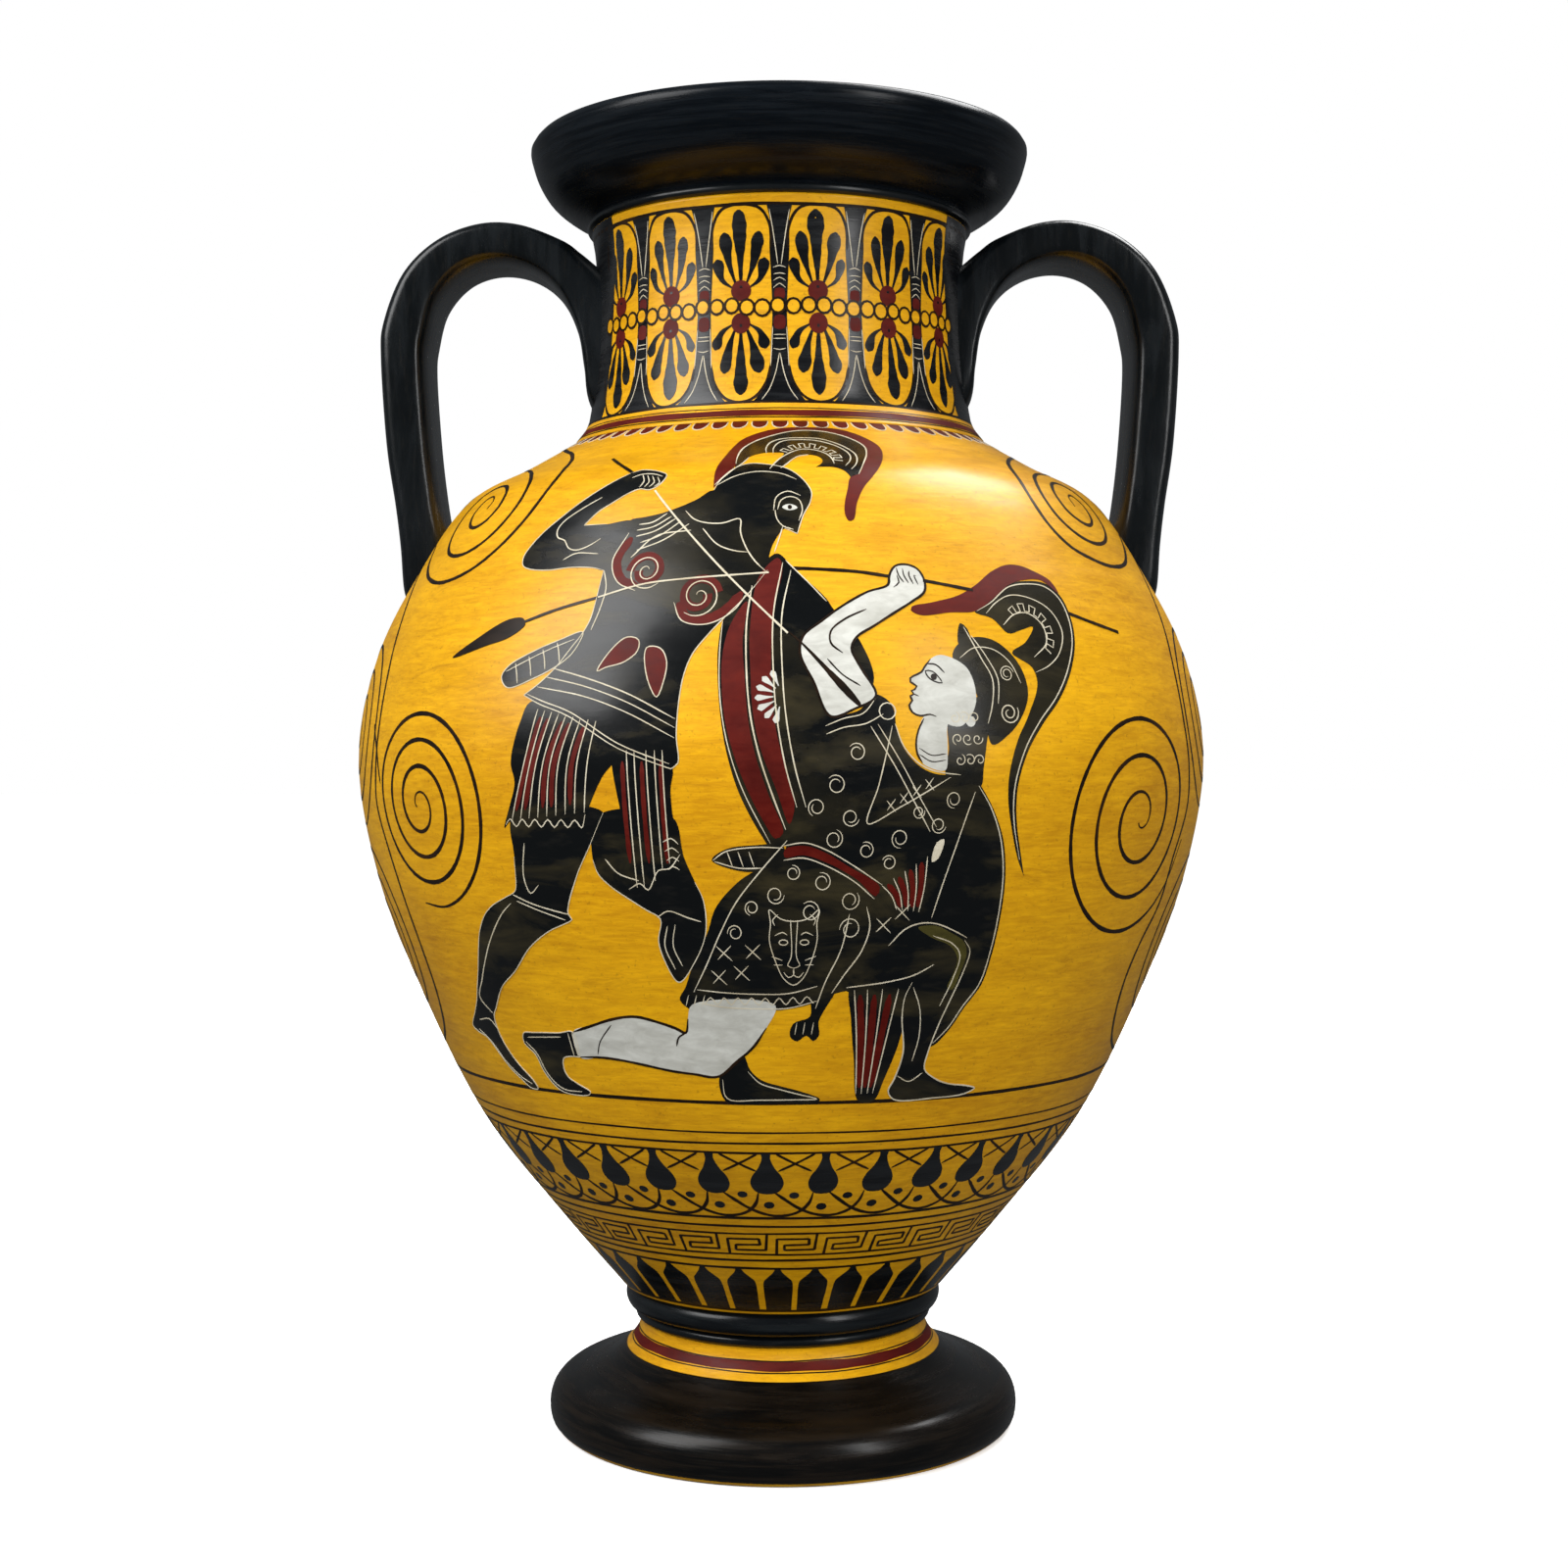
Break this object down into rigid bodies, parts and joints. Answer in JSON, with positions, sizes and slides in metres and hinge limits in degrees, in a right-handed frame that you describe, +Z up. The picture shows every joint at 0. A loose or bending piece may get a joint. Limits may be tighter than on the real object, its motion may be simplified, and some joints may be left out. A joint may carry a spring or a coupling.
{
  "type": "neck amphora",
  "caption": "Two-handled neck amphora with an ovoid body, echinus mouth, strap handles and disc foot, painted in black figure on ochre clay.",
  "frame": {"origin": "middle of the flat ring that the foot stands on", "axes": "+Z up to the mouth; the handles at -X and +X; the painted front faces -Y"},
  "size_m": [0.2732, 0.2732, 0.415],
  "materials": {
    "ochre_clay": "fired clay under a golden ochre varnish with streaky brush marks, satin",
    "black_slip": "black clay slip, satin gloss with fine brush marks"
  },
  "bodies": {
    "root": {"mouth_lip": "black_slip", "neck_bead": "black_slip", "neck": "ochre_clay", "shoulder": "ochre_clay", "belly": "ochre_clay", "base_collar": "black_slip", "foot_fillet": "ochre_clay", "foot_disc": "black_slip", "handle_left": "black_slip", "handle_right": "black_slip"}
  },
  "joints": []
}
